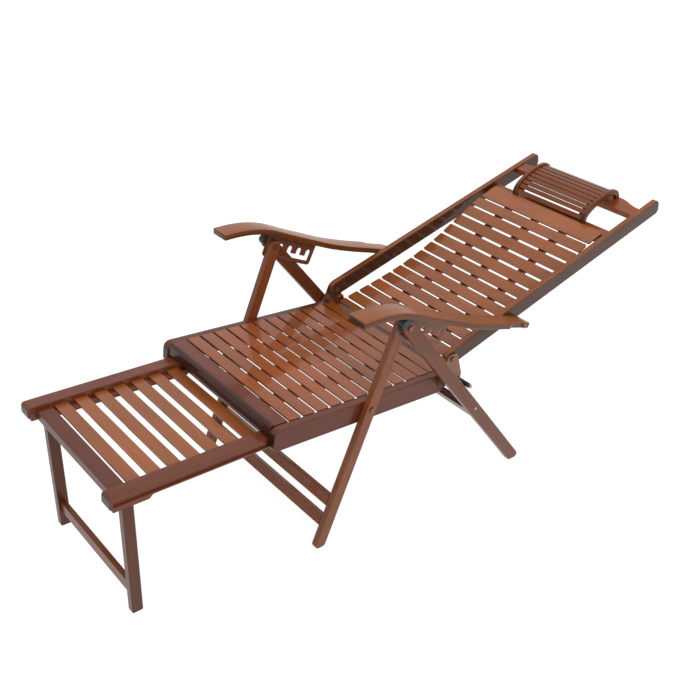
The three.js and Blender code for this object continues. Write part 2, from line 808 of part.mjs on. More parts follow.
function bowedBatten() {
  const start = lowRailEnd + seatingGap;
  const end = midRailStart - seatingGap;
  const inside = bowTable.filter((point) => point.x > start && point.x < end);
  const first = new THREE.Vector2(start, bowAt(start));
  const last = new THREE.Vector2(end, bowAt(end));
  const line = [first, ...inside, last];
  const housing = panelSlatThickness / 2;
  const depth = panelSlatThickness + panelBattenDepth;
  const upper = line.map((point) => new THREE.Vector2(point.x, point.y - housing));
  const lower = line.map((point) => new THREE.Vector2(point.x, point.y - depth));
  return board(new THREE.Shape([...lower, ...upper.reverse()]), panelBattenWidth, 0);
}

function backPanel() {
  const pieces = [bowedSlat(panelStart, panelFirstSlatWidth)];
  for (let i = 0; i < panelSlatCount; i += 1) {
    pieces.push(bowedSlat(panelFirstPitch + i * panelSlatPitch, panelSlatPitch - panelSlatGap));
  }
  pieces.push(bowedSlat(headBoardStart, panelHeadBoardWidth));
  for (const step of [-1, 0, 1]) {
    const batten = bowedBatten();
    batten.translate(0, step * panelBattenSpacing, 0);
    pieces.push(batten);
  }
  return join(pieces);
}

place(back, 'back_slat_panel', backPanel(), bamboo);

// Lower cross rail: raised ends meet the undersides of the back rails, and the first slat rests between
function lowCrossRail() {
  const earTop = -backRailHeight / 2 - seatingGap;
  const seatTop = Math.min(bowAt(lowRailEnd), bowAt(-lowRailEnd)) - panelSlatThickness - runningGap;
  const bottom = seatTop - lowRailDepth;
  const earFoot = panelHalfWidth + runningGap;
  const shape = filletedShape([
    [-backHalfWidth, bottom, arris],
    [backHalfWidth, bottom, arris],
    [backHalfWidth, earTop, arris],
    [earFoot, earTop, arris],
    [earFoot, seatTop, arris],
    [-earFoot, seatTop, arris],
    [-earFoot, earTop, arris],
    [-backHalfWidth, earTop, arris],
  ]);
  const geometry = board(shape, lowRailThickness, 0);
  geometry.rotateZ(Math.PI / 2);
  return geometry;
}

const backSpan = backRailInner - seatingGap;
place(back, 'back_lower_rail', lowCrossRail(), darkBamboo);
const midRailEnd = midRailStart + midRailWidth;
const midRail = crossBar(midRailStart, midRailEnd, midRailTop - midRailThickness, midRailTop, backSpan, arris);
place(back, 'back_middle_rail', midRail, darkBamboo);

// Top cross rail, waisted towards its ends
const topRailStart = backRailLength - topRailSetback - topRailWidth;

function topCrossRail() {
  const shape = new THREE.Shape();
  const middle = (pillowHalfWidth + backSpan) / 2;
  shape.moveTo(0, -backSpan);
  shape.lineTo(topRailEndWidth, -backSpan);
  shape.bezierCurveTo(topRailEndWidth, -middle, topRailWidth, -middle, topRailWidth, -pillowHalfWidth);
  shape.lineTo(topRailWidth, pillowHalfWidth);
  shape.bezierCurveTo(topRailWidth, middle, topRailEndWidth, middle, topRailEndWidth, backSpan);
  shape.lineTo(0, backSpan);
  shape.closePath();
  const geometry = plank(shape, topRailThickness, 8);
  geometry.translate(topRailStart, 0, topRailThickness);
  return geometry;
}

place(back, 'back_top_rail', topCrossRail(), darkBamboo);

// Head pillow: two arched frames from the middle rail to the top rail carry a slatted crown
const pillowFront = panelEnd + pillowFrameDepth / 2 + runningGap;
const pillowRear = topRailStart + topRailWidth - arris - pillowFrameDepth / 2;
const pillowPoints = pillowSpanShares.map((share, i) => {
  const along = THREE.MathUtils.lerp(pillowFront, pillowRear, share);
  return new THREE.Vector2(along, pillowRiseShares[i] * pillowRise);
});
pillowPoints[0].y = midRailTop - cutOverrun;
pillowPoints.at(-1).y = topRailThickness - cutOverrun;
const pillowCurve = new THREE.SplineCurve(pillowPoints);

// Trims the feet of the arch level, just above the two rails that carry it
function seatOnRails(geometry) {
  const span = pillowRear - pillowFront;
  const footCut = (middle, top) => {
    const box = new THREE.BoxGeometry(span, 2 * backSpan, pillowRise);
    box.translate(middle, 0, top + seatingGap - pillowRise / 2);
    return box;
  };
  return cut(geometry, footCut(pillowFront, midRailTop), footCut(pillowRear, topRailThickness));
}

function pillowSlats() {
  const halfLength = pillowHalfWidth - pillowFrameThickness - seatingGap;
  const slatTop = pillowFrameDepth / 2 - arris;
  const pieces = [];
  const [firstShare, lastShare] = pillowSlatShares;
  for (let i = 0; i < pillowSlatCount; i += 1) {
    const share = THREE.MathUtils.lerp(firstShare, lastShare, i / (pillowSlatCount - 1));
    const point = pillowCurve.getPointAt(share);
    const tangent = pillowCurve.getTangentAt(share);
    const slat = slatPlank(pillowSlatWidth, 2 * halfLength, pillowSlatThickness, 0);
    slat.translate(-pillowSlatWidth / 2, 0, slatTop);
    slat.rotateY(-Math.atan2(tangent.y, tangent.x));
    slat.translate(point.x, 0, point.y);
    pieces.push(slat);
  }
  const above = slatTop - pillowSlatThickness / 2;
  const band = bandShape(pillowCurve, above, pillowFrameDepth / 2, pillowSteps, [firstShare, lastShare]);
  for (const step of [-1, 1]) {
    const batten = board(band, pillowBattenWidth, 0);
    batten.translate(0, step * (halfLength - pillowBattenWidth / 2), 0);
    pieces.push(batten);
  }
  return seatOnRails(join(pieces));
}

function pillowFrame() {
  const band = bandShape(pillowCurve, pillowFrameDepth / 2, pillowFrameDepth / 2, pillowSteps);
  return seatOnRails(board(band, pillowFrameThickness));
}

for (const [side, sign] of sides) {
  const y = sign * (pillowHalfWidth - pillowFrameThickness / 2);
  place(back, `pillow_frame_${side}`, pillowFrame(), darkBamboo, y);
}
place(back, 'pillow_slat_panel', pillowSlats(), bamboo);

// Armrest pins through the back rails
const armTailOuter = armInnerFace + armWidth - armTailInset;
for (const [side, sign] of sides) {
  const pinStart = backRailInner - seatingGap;
  const pinEnd = armTailOuter + seatingGap;
  const stations = [
    [pinStart - headThickness, headRadius],
    [pinStart, headRadius],
    [pinStart, armPinRadius],
    [pinEnd, armPinRadius],
    [pinEnd, headRadius],
    [pinEnd + headThickness, headRadius],
  ];
  place(back, `armrest_pin_${side}`, pin(stations, armPivotAlongBack, -armPivotDrop, sign), steel);
}

// Armrests: one steam-bent board each, rounded in plan at the nose and narrowed at the tail
const armCurve = new THREE.SplineCurve(armReachShares.map((share, i) => {
  return new THREE.Vector2(-share * armLength, armRiseShares[i] * armRise);
}));

function armBand(clearance) {
  const half = armThickness / 2 + clearance;
  return bandShape(armCurve, half, half, armSteps);
}

function armrest(sign) {
  const tail = -armReachShares.at(-1) * armLength;
  const outer = armInnerFace + armWidth;
  const plan = filletedShape([
    [-armLength - cutOverrun, sign * armInnerFace, armNoseRadius],
    [-armLength - cutOverrun, sign * outer, armNoseRadius],
    [-armShoulder, sign * outer, armNoseRadius],
    [-armShoulder, sign * armTailOuter, armNoseRadius / 2],
    [tail + cutOverrun, sign * armTailOuter, armNoseRadius],
    [tail + cutOverrun, sign * armInnerFace, armNoseRadius],
  ]);
  const prism = plank(plan, 3 * armRise, 4);
  prism.translate(0, 0, 2 * armRise);
  const body = board(armBand(0), armWidth, armArris);
  body.translate(0, sign * (armInnerFace + armWidth / 2), 0);
  const bore = turned([
    [sign * (armInnerFace + armWidth / 2) - armWidth, armPinRadius + boltPlay],
    [sign * (armInnerFace + armWidth / 2) + armWidth, armPinRadius + boltPlay],
  ]);
  return toGeometry(toSolid(body).intersect(toSolid(prism)).subtract(toSolid(bore)));
}

// Comb plate: a window whose upper edge is cut into five notches, closed below by a bar
function combPlate() {
  const last = (combNotchCount - 1) * combPitch;
  const window = new THREE.Path();
  const channelBottom = -combToothDepth - combChannelHeight;
  window.moveTo(-combNotchRadius, channelBottom);
  window.lineTo(last + combNotchRadius, channelBottom);
  for (let i = combNotchCount - 1; i >= 0; i -= 1) {
    const middle = i * combPitch;
    window.lineTo(middle + combNotchRadius, 0);
    window.absarc(middle, 0, combNotchRadius, 0, Math.PI);
    if (i > 0) {
      const toothEnd = middle - combNotchRadius;
      const toothStart = toothEnd - combPitch + 2 * combNotchRadius;
      window.lineTo(toothEnd, combToothRadius - combToothDepth);
      window.quadraticCurveTo(toothEnd, -combToothDepth, toothEnd - combToothRadius, -combToothDepth);
      window.lineTo(toothStart + combToothRadius, -combToothDepth);
      window.quadraticCurveTo(toothStart, -combToothDepth, toothStart, combToothRadius - combToothDepth);
    }
  }
  window.closePath();
  const bottom = channelBottom - combBarHeight;
  const start = -combNotchRadius - combEndWidth;
  const end = last + combNotchRadius + combEndWidth;
  const plate = filletedShape([
    [start, bottom, combCorner],
    [end, bottom, combCorner],
    [end, combTopMargin, 0],
    [start, combTopMargin, 0],
  ]);
  plate.holes.push(window);
  const geometry = board(plate, combPlateThickness, 0);
  geometry.rotateY(combTilt);
  geometry.translate(topPivot.x - armPivot.x, 0, topPivot.z - armPivot.z);
  return cut(geometry, board(armBand(seatingGap), armWidth, 0));
}

for (const [side, sign] of sides) {
  place(arms[side], `armrest_${side}`, armrest(sign), bamboo);
  place(arms[side], `armrest_comb_${side}`, combPlate(), paintedSteel, sign * (frontLegOuter + legLayerGap / 2));
}

// The origin lies on the floor below the middle of the whole chair
chair.updateMatrixWorld(true);
const box = new THREE.Box3().setFromObject(chair, true);
const middle = box.getCenter(new THREE.Vector3());
chair.position.set(-middle.x, 0, -box.min.z);

export default chair;
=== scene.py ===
import math
import bmesh
import bpy
from mathutils import Matrix, Vector


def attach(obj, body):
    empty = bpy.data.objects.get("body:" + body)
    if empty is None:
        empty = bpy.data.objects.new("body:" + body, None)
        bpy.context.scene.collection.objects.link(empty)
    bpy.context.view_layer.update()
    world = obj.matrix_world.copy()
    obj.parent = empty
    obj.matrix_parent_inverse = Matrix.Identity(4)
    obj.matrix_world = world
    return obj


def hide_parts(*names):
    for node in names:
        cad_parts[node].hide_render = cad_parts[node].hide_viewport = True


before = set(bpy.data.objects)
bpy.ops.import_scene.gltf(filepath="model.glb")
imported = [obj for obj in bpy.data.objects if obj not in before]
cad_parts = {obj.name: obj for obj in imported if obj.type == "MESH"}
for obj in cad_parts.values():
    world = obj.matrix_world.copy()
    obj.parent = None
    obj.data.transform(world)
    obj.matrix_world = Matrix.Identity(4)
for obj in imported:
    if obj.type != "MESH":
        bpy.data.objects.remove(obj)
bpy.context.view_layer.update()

# The photograph's place: in front of the near corner of the footrest and above eye height,
# looking down along the chair with the picture turned a little anticlockwise.
look_yaw, look_pitch, look_roll = (math.radians(angle) for angle in (43.896, 29.738, 6.573))
ahead = Vector((math.sin(look_yaw), math.cos(look_yaw), 0))
aside = Vector((math.cos(look_yaw), -math.sin(look_yaw), 0))
look = ahead * math.cos(look_pitch) - Vector((0, 0, math.sin(look_pitch)))
above = ahead * math.sin(look_pitch) + Vector((0, 0, math.cos(look_pitch)))
picture_right = aside * math.cos(look_roll) + above * math.sin(look_roll)
picture_up = above * math.cos(look_roll) - aside * math.sin(look_roll)
lens = bpy.data.cameras.new("camera")
lens.sensor_width = 36
lens.lens = 46.93
lens.shift_x = 0.0003
lens.shift_y = 0.0009
lens.clip_end = 50
camera = bpy.data.objects.new("camera", lens)
turned = Matrix((picture_right, picture_up, -look)).transposed().to_4x4()
camera.matrix_world = Matrix.Translation((-1.56965, -1.5488, 1.5968)) @ turned
bpy.context.scene.collection.objects.link(camera)
bpy.context.scene.camera = camera


# The studio: a white room with a white floor, lit by a broad soft lamp above the near side.
# Lacquer and steel mirror the white room, and the floor keeps a faint shadow of the chair.
def add(tree, kind, settings=None, inputs=None):
    made = tree.nodes.new(kind)
    for name, value in (settings or {}).items():
        setattr(made, name, value)
    for socket, value in (inputs or {}).items():
        if isinstance(value, bpy.types.NodeSocket):
            tree.links.new(value, made.inputs[socket])
        else:
            made.inputs[socket].default_value = value
    return made


room = bpy.data.worlds.new("white room")
room.use_nodes = True
room_tree = room.node_tree
ray = add(room_tree, "ShaderNodeLightPath").outputs
seen = add(room_tree, "ShaderNodeMath", {"operation": "MAXIMUM"}, {0: ray["Is Camera Ray"], 1: ray["Is Glossy Ray"]})
seen = add(room_tree, "ShaderNodeMath", {"operation": "MAXIMUM"}, {0: seen.outputs[0], 1: ray["Is Transmission Ray"]})
level = add(room_tree, "ShaderNodeMapRange", {}, {"Value": seen.outputs[0], "To Min": 0.5, "To Max": 1.0})
backdrop = room_tree.nodes["Background"]
backdrop.inputs["Color"].default_value = (1, 1, 1, 1)
room_tree.links.new(level.outputs["Result"], backdrop.inputs["Strength"])
bpy.context.scene.world = room
bpy.context.scene.view_settings.view_transform = "Standard"

floor_mesh = bpy.data.meshes.new("floor")
floor_mesh.from_pydata([(-60, -60, 0), (60, -60, 0), (60, 60, 0), (-60, 60, 0)], [], [(0, 1, 2, 3)])
floor = bpy.data.objects.new("floor", floor_mesh)
bpy.context.scene.collection.objects.link(floor)
floor_paint = bpy.data.materials.new("white studio floor")
floor_paint.use_nodes = True
floor_tree = floor_paint.node_tree
floor_tree.nodes.remove(floor_tree.nodes["Principled BSDF"])
matt = add(floor_tree, "ShaderNodeBsdfDiffuse", {}, {"Color": (0.8, 0.8, 0.8, 1)})
shadowed = add(floor_tree, "ShaderNodeBsdfDiffuse", {}, {"Color": (0.26, 0.26, 0.26, 1)})
lit = add(floor_tree, "ShaderNodeEmission", {}, {"Strength": 0.89})
glow = add(floor_tree, "ShaderNodeAddShader", {}, {0: shadowed.outputs[0], 1: lit.outputs[0]})
floor_ray = add(floor_tree, "ShaderNodeLightPath").outputs
floor_seen = add(
    floor_tree, "ShaderNodeMath", {"operation": "MAXIMUM"}, {0: floor_ray["Is Camera Ray"], 1: floor_ray["Is Glossy Ray"]}
)
either = add(floor_tree, "ShaderNodeMixShader", {}, {0: floor_seen.outputs[0], 1: matt.outputs[0], 2: glow.outputs[0]})
floor_tree.links.new(either.outputs[0], floor_tree.nodes["Material Output"].inputs["Surface"])
floor_mesh.materials.append(floor_paint)

for name, place, size, power in (("key", (-1.6, -3.2, 3.4), 3.0, 120), ("top", (0.8, 1.2, 3.8), 3.0, 45)):
    panel = bpy.data.lights.new(name, "AREA")
    panel.size = size
    panel.energy = power
    lamp = bpy.data.objects.new(name, panel)
    lamp.location = place
    lamp.rotation_euler = (Vector((0, 0, 0.35)) - Vector(place)).to_track_quat("-Z", "Y").to_euler()
    lamp.visible_glossy = False
    bpy.context.scene.collection.objects.link(lamp)


# Seat boards: thick boards on edge, glued up from strips of carbonised bamboo about 20 mm
# wide and 7 mm thick, stained dark red-brown and finished with a thick clear lacquer.
# To the eye: fine streaks along the grain, faint joints, a knuckle line now and then, and
# a mirror-like coat that turns milky brown where it reflects the white room.
def linear(code):
    channels = [int(code[i:i + 2], 16) / 255 for i in (0, 2, 4)]
    return [c / 12.92 if c <= 0.04045 else ((c + 0.055) / 1.055) ** 2.4 for c in channels] + [1]


def lacquered_bamboo(name, colour, streak_colour, along, place=None, strip=20, spread=0.18, coat=0.28, painted_side_shade=1.0):
    material = bpy.data.materials.new(name)
    material.use_nodes = True
    tree = material.node_tree
    if place is None:
        where = add(tree, "ShaderNodeAttribute", {"attribute_name": "grain"}).outputs["Vector"]
        tone = add(tree, "ShaderNodeAttribute", {"attribute_name": "tone"}).outputs["Fac"]
    else:
        x, z, tilt = place
        where = add(tree, "ShaderNodeTexCoord").outputs["Object"]
        placed = {"Vector": where, "Location": (x, 0, z), "Rotation": (0, tilt, 0)}
        where = add(tree, "ShaderNodeMapping", {"vector_type": "TEXTURE"}, placed).outputs["Vector"]
        tone = 0.5
    axis = add(tree, "ShaderNodeSeparateXYZ", {}, {0: where}).outputs
    across = {"X": ("Y", "Z"), "Y": ("X", "Z"), "Z": ("X", "Y")}[along]

    def maths(operation, *values):
        return add(tree, "ShaderNodeMath", {"operation": operation}, dict(enumerate(values))).outputs[0]

    rows = [maths("FLOOR", maths("MULTIPLY_ADD", axis[a], 1000 / s, 0.37)) for a, s in zip(across, (strip, 7))]
    cell = add(tree, "ShaderNodeCombineXYZ", {}, {0: rows[0], 1: rows[1], 2: maths("MULTIPLY", tone, 97.0)})
    chance = add(tree, "ShaderNodeTexWhiteNoise", {"noise_dimensions": "3D"}, {"Vector": cell.outputs[0]})
    length = maths("MULTIPLY_ADD", chance.outputs["Value"], 3.0, axis[along])
    # Streaks 1.4 mm wide and about 120 mm long
    fine = add(tree, "ShaderNodeCombineXYZ", {}, {
        0: maths("MULTIPLY", length, 8.0),
        1: maths("MULTIPLY", axis[across[0]], 700.0),
        2: maths("MULTIPLY", axis[across[1]], 700.0),
    })
    streaks = add(tree, "ShaderNodeTexNoise", {}, {"Vector": fine.outputs[0], "Scale": 1.0, "Detail": 2.0}).outputs[0]
    streak = add(tree, "ShaderNodeMapRange", {}, {"Value": streaks, "From Min": 0.45, "From Max": 0.72}).outputs["Result"]
    # Knuckle lines about 4 mm wide, 260 mm apart along each strip
    beat = maths("FRACT", maths("MULTIPLY", length, 1 / 0.26))
    knuckle = add(tree, "ShaderNodeMapRange", {"interpolation_type": "SMOOTHSTEP"}, {
        "Value": maths("ABSOLUTE", maths("SUBTRACT", beat, 0.5)),
        "From Min": 0.0, "From Max": 0.009, "To Min": 0.5, "To Max": 0.0,
    }).outputs["Result"]
    stain = add(tree, "ShaderNodeTexNoise", {}, {"Vector": where, "Scale": 7.0, "Detail": 2.0}).outputs[0]
    dark = maths("MAXIMUM", maths("MULTIPLY", streak, 0.55), knuckle)
    mixed = add(tree, "ShaderNodeMix", {"data_type": "RGBA"}, {"Factor": dark})
    mixed.inputs[6].default_value = linear(colour)
    mixed.inputs[7].default_value = linear(streak_colour)
    shade = maths("MULTIPLY_ADD", chance.outputs["Value"], spread, 1 - spread / 2)
    shade = maths("MULTIPLY", shade, maths("MULTIPLY_ADD", stain, 0.5, 0.75))
    shade = maths("MULTIPLY", shade, maths("MULTIPLY_ADD", tone, 0.36, 0.82))
    # End faces are painted darker: partly the real darker stain of end grain, partly painted shade
    lean = 0 if place is None else place[2]
    run = {"X": (math.cos(lean), 0, -math.sin(lean)), "Y": (0, 1, 0), "Z": (math.sin(lean), 0, math.cos(lean))}[along]
    normal = add(tree, "ShaderNodeTexCoord").outputs["Normal"]
    facing = add(tree, "ShaderNodeVectorMath", {"operation": "DOT_PRODUCT"}, {0: normal, 1: run}).outputs["Value"]
    shade = maths("MULTIPLY", shade, add(tree, "ShaderNodeMapRange", {"interpolation_type": "SMOOTHSTEP"}, {
        "Value": maths("ABSOLUTE", facing), "From Min": 0.75, "From Max": 0.95, "To Min": 1.0, "To Max": 0.2,
    }).outputs["Result"])
    if painted_side_shade < 1:
        # Faces that look along Y are painted darker than the tops: painted shade on the sides
        sideways = add(tree, "ShaderNodeSeparateXYZ", {}, {0: normal}).outputs["Y"]
        shade = maths("MULTIPLY", shade, add(tree, "ShaderNodeMapRange", {"interpolation_type": "SMOOTHSTEP"}, {
            "Value": maths("ABSOLUTE", sideways), "From Min": 0.6, "From Max": 0.95, "To Min": 1.0, "To Max": painted_side_shade,
        }).outputs["Result"])
    toned = add(tree, "ShaderNodeHueSaturation", {}, {"Value": shade, "Color": mixed.outputs[2]})
    dimple = add(tree, "ShaderNodeTexNoise", {}, {"Vector": where, "Scale": 260.0, "Detail": 1.0}).outputs[0]
    height = maths("MULTIPLY_ADD", streak, -0.3, dimple)
    bump = add(tree, "ShaderNodeBump", {}, {"Height": height, "Strength": 0.12, "Distance": 0.0003})
    shader = tree.nodes["Principled BSDF"]
    tree.links.new(toned.outputs[0], shader.inputs["Base Color"])
    tree.links.new(maths("MULTIPLY_ADD", streak, 0.12, 0.38), shader.inputs["Roughness"])
    tree.links.new(bump.outputs[0], shader.inputs["Normal"])
    shader.inputs["Coat Weight"].default_value = coat
    shader.inputs["Coat Roughness"].default_value = 0.07
    shader.inputs["Specular IOR Level"].default_value = 0.22
    shader.inputs["Coat IOR"].default_value = 1.5
    return material


def finish_node(name, material, rounding=0.0006):
    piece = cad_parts[name]
    piece.data.materials.clear()
    piece.data.materials.append(material)
    weld = piece.modifiers.new("joined", "WELD")
    weld.merge_threshold = 0.00002
    bevel = piece.modifiers.new("eased edges", "BEVEL")
    bevel.width = rounding
    bevel.segments = 2
    bevel.limit_method = "ANGLE"
    bevel.angle_limit = math.radians(30)


seat_place = (-0.51255, 0.407, math.radians(2.1))
board_brown, board_streak = "5E2A16", "36160A"
seat_board = lacquered_bamboo("lacquered bamboo of seat boards", board_brown, board_streak, "X", seat_place)
for side in ("left", "right"):
    finish_node(f"seat_side_board_{side}", seat_board)
    finish_node(f"footrest_runner_{side}", seat_board)
seat_cross = lacquered_bamboo("lacquered bamboo of seat rails", board_brown, board_streak, "Y", seat_place)
finish_node("seat_front_rail", seat_cross)
finish_node("seat_rear_rail", seat_cross)


# Seat slats: twelve lie across the seat behind its nose, each one strip of bamboo 32 mm wide
# with eased edges, screwed down on three battens. They are redder and glossier than the rest.
def out_of(place, x, z):
    left, base, tilt = place
    return left + x * math.cos(tilt) + z * math.sin(tilt), base - x * math.sin(tilt) + z * math.cos(tilt)


slats_on_stations = bpy.data.node_groups.new("slats on stations", "GeometryNodeTree")
slat_face = slats_on_stations.interface
slat_face.new_socket("Stations", in_out="INPUT", socket_type="NodeSocketGeometry")
for label in ("Slat Width", "Slat Length", "Slat Thickness", "Corner Radius"):
    slat_face.new_socket(label, in_out="INPUT", socket_type="NodeSocketFloat")
slat_face.new_socket("Seed", in_out="INPUT", socket_type="NodeSocketInt")
slat_face.new_socket("Wood", in_out="INPUT", socket_type="NodeSocketMaterial")
slat_face.new_socket("Slats", in_out="OUTPUT", socket_type="NodeSocketGeometry")
given = add(slats_on_stations, "NodeGroupInput").outputs
plan = add(slats_on_stations, "GeometryNodeCurvePrimitiveQuadrilateral", {}, {
    "Width": given["Slat Width"], "Height": given["Slat Length"],
})
plan = add(slats_on_stations, "GeometryNodeFilletCurve", {}, {"Curve": plan.outputs[0], "Radius": given["Corner Radius"]})
if "Mode" in plan.inputs:
    plan.inputs["Mode"].default_value = "Poly"
else:
    plan.mode = "POLY"
plan.inputs["Count"].default_value = 4
top_face = add(slats_on_stations, "GeometryNodeFillCurve", {}, {"Curve": plan.outputs[0]})
if "Mode" in top_face.inputs:
    top_face.inputs["Mode"].default_value = "N-gons"
else:
    top_face.mode = "NGONS"
down = add(slats_on_stations, "FunctionNodeInputVector", {"vector": (0, 0, -1)})
sunk = add(slats_on_stations, "GeometryNodeExtrudeMesh", {}, {
    "Mesh": top_face.outputs[0], "Offset": down.outputs[0], "Offset Scale": given["Slat Thickness"],
})
block = add(slats_on_stations, "GeometryNodeJoinGeometry", {}, {0: top_face.outputs[0]})
slats_on_stations.links.new(sunk.outputs[0], block.inputs[0])
block = add(slats_on_stations, "GeometryNodeMergeByDistance", {}, {"Geometry": block.outputs[0], "Distance": 0.00001})
spot = add(slats_on_stations, "GeometryNodeInputPosition")
block = add(slats_on_stations, "GeometryNodeStoreNamedAttribute", {"data_type": "FLOAT_VECTOR", "domain": "POINT"}, {
    "Geometry": block.outputs[0], "Name": "grain", "Value": spot.outputs[0],
})
own_width = add(slats_on_stations, "GeometryNodeInputNamedAttribute", {"data_type": "FLOAT"}, {"Name": "width"})
own_lean = add(slats_on_stations, "GeometryNodeInputNamedAttribute", {"data_type": "FLOAT"}, {"Name": "lean"})
stretch = add(slats_on_stations, "ShaderNodeMath", {"operation": "DIVIDE"}, {
    0: own_width.outputs[0], 1: given["Slat Width"],
})
stretch = add(slats_on_stations, "ShaderNodeCombineXYZ", {}, {0: stretch.outputs[0], 1: 1.0, 2: 1.0})
turn = add(slats_on_stations, "ShaderNodeCombineXYZ", {}, {1: own_lean.outputs[0]})
laid = add(slats_on_stations, "GeometryNodeInstanceOnPoints", {}, {
    "Points": given["Stations"], "Instance": block.outputs[0], "Rotation": turn.outputs[0], "Scale": stretch.outputs[0],
})
pick = add(slats_on_stations, "FunctionNodeRandomValue", {"data_type": "FLOAT"}, {"Seed": given["Seed"]})
laid = add(slats_on_stations, "GeometryNodeStoreNamedAttribute", {"data_type": "FLOAT", "domain": "INSTANCE"}, {
    "Geometry": laid.outputs[0], "Name": "tone", "Value": pick.outputs[1],
})
laid = add(slats_on_stations, "GeometryNodeRealizeInstances", {}, {"Geometry": laid.outputs[0]})
laid = add(slats_on_stations, "GeometryNodeSetMaterial", {}, {"Geometry": laid.outputs[0], "Material": given["Wood"]})
add(slats_on_stations, "NodeGroupOutput", {}, {0: laid.outputs[0]})


def plain_copy(source, name):
    bpy.context.view_layer.update()
    mesh = bpy.data.meshes.new_from_object(source.evaluated_get(bpy.context.evaluated_depsgraph_get()))
    shell = bmesh.new()
    shell.from_mesh(mesh)
    bmesh.ops.recalc_face_normals(shell, faces=shell.faces)
    shell.to_mesh(mesh)
    shell.free()
    mesh.name = name
    bpy.data.objects.remove(source)
    piece = bpy.data.objects.new(name, mesh)
    bpy.context.scene.collection.objects.link(piece)
    return piece


def lay_slats(name, stations, width, length, thickness, corner, seed, wood):
    mesh = bpy.data.meshes.new(name)
    mesh.from_pydata([(x, 0, z) for x, z, _, _ in stations], [], [])
    widths = mesh.attributes.new("width", "FLOAT", "POINT")
    widths.data.foreach_set("value", [station[3] for station in stations])
    leans = mesh.attributes.new("lean", "FLOAT", "POINT")
    leans.data.foreach_set("value", [station[2] for station in stations])
    source = bpy.data.objects.new(name, mesh)
    bpy.context.scene.collection.objects.link(source)
    nodes = source.modifiers.new("slats", "NODES")
    nodes.node_group = slats_on_stations
    values = {
        "Slat Width": width, "Slat Length": length, "Slat Thickness": thickness,
        "Corner Radius": corner, "Seed": seed, "Wood": wood,
    }
    for socket in slat_face.items_tree:
        if socket.name in values:
            nodes[socket.identifier] = values[socket.name]
    eased = source.modifiers.new("eased edges", "BEVEL")
    eased.width = 0.0012
    eased.segments = 3
    eased.limit_method = "ANGLE"
    eased.angle_limit = math.radians(40)
    return plain_copy(source, name)


seat_slat_wood = lacquered_bamboo("lacquered bamboo of seat slats", "8C4618", "5A280A", "Y", None, strip=26, spread=0.12, coat=0.5)
slat_rise, slat_width = 0.0015, 0.032
starts = [(0.05925 + 0.042 * i, slat_width) for i in range(12)]
seat_stations = []
for start, width in starts:
    x, z = out_of(seat_place, start + width / 2, slat_rise)
    seat_stations.append((x, z, seat_place[2], width))
seat_slats = lay_slats("seat_slats", seat_stations, slat_width, 0.4374, 0.0065, 0.003, 11, seat_slat_wood)
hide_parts("seat_slat_panel")
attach(seat_slats, "seat")


# Battens: three bars under the seat slats run from the front rail to the rear rail.
def bars(name, outline, ys, width, wood, rounding=0.0008):
    mesh = bpy.data.meshes.new(name)
    shell = bmesh.new()
    grain = shell.verts.layers.float_vector.new("grain")
    tone = shell.verts.layers.float.new("tone")
    for count, middle in enumerate(ys):
        rings = []
        for y in (middle - width / 2, middle + width / 2):
            ring = [shell.verts.new((x, y, z)) for x, z in outline]
            for vert in ring:
                vert[grain] = (vert.co.x, vert.co.y, vert.co.z)
                vert[tone] = (0.3 + 0.37 * count) % 1
            rings.append(ring)
        total = len(outline)
        shell.faces.new(rings[0])
        shell.faces.new(list(reversed(rings[1])))
        for i in range(total):
            j = (i + 1) % total
            shell.faces.new((rings[0][i], rings[1][i], rings[1][j], rings[0][j]))
    bmesh.ops.recalc_face_normals(shell, faces=shell.faces)
    shell.to_mesh(mesh)
    shell.free()
    mesh.materials.append(wood)
    piece = bpy.data.objects.new(name, mesh)
    bpy.context.scene.collection.objects.link(piece)
    bevel = piece.modifiers.new("eased edges", "BEVEL")
    bevel.width = rounding
    bevel.segments = 2
    bevel.limit_method = "ANGLE"
    bevel.angle_limit = math.radians(40)
    return piece


batten_wood = lacquered_bamboo("lacquered bamboo of battens", "6A2E12", "43190B", "X", None)
low, high = slat_rise - 0.009 - 0.0165, slat_rise - 0.0066
batten_outline = [out_of(seat_place, x, z) for x, z in ((0.0383, low), (0.5267, low), (0.5267, high), (0.0383, high))]
seat_battens = bars("seat_battens", batten_outline, (-0.109, 0, 0.109), 0.022, batten_wood)
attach(seat_battens, "seat")

# Seat nose: a rounded lip hangs in front of the front rail, and a wide slab behind it
# covers the rail up to the first slat.
lip_front, lip_back, lip_foot, lip_radius = 0.004, 0.0145, -0.0285, 0.008
lip_outline = [(lip_back, lip_foot), (lip_back, slat_rise)]
for step in range(7):
    angle = math.radians(15 * step)
    lip_outline.append((
        lip_front + lip_radius * (1 - math.sin(angle)),
        slat_rise - lip_radius * (1 - math.cos(angle)),
    ))
lip_outline.append((lip_front, lip_foot))
slab_front, slab_back, slab_foot = 0.0148, 0.0525, -0.0075
slab_outline = [(slab_front, slab_foot), (slab_back, slab_foot), (slab_back, slat_rise), (slab_front, slat_rise)]
# The lip's near-black brown is painted shade: it stands for the shadow at the seat front
for label, outline, colour in (("lip", lip_outline, "3E1A10"), ("slab", slab_outline, "6A3020")):
    nose_wood = lacquered_bamboo(f"lacquered bamboo of seat nose {label}", colour, "2A1009", "Y", None)
    placed_outline = [out_of(seat_place, *point) for point in outline]
    seat_nose = bars(f"seat_nose_{label}", placed_outline, (0,), 0.4374, nose_wood, 0.0004)
    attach(seat_nose, "seat")


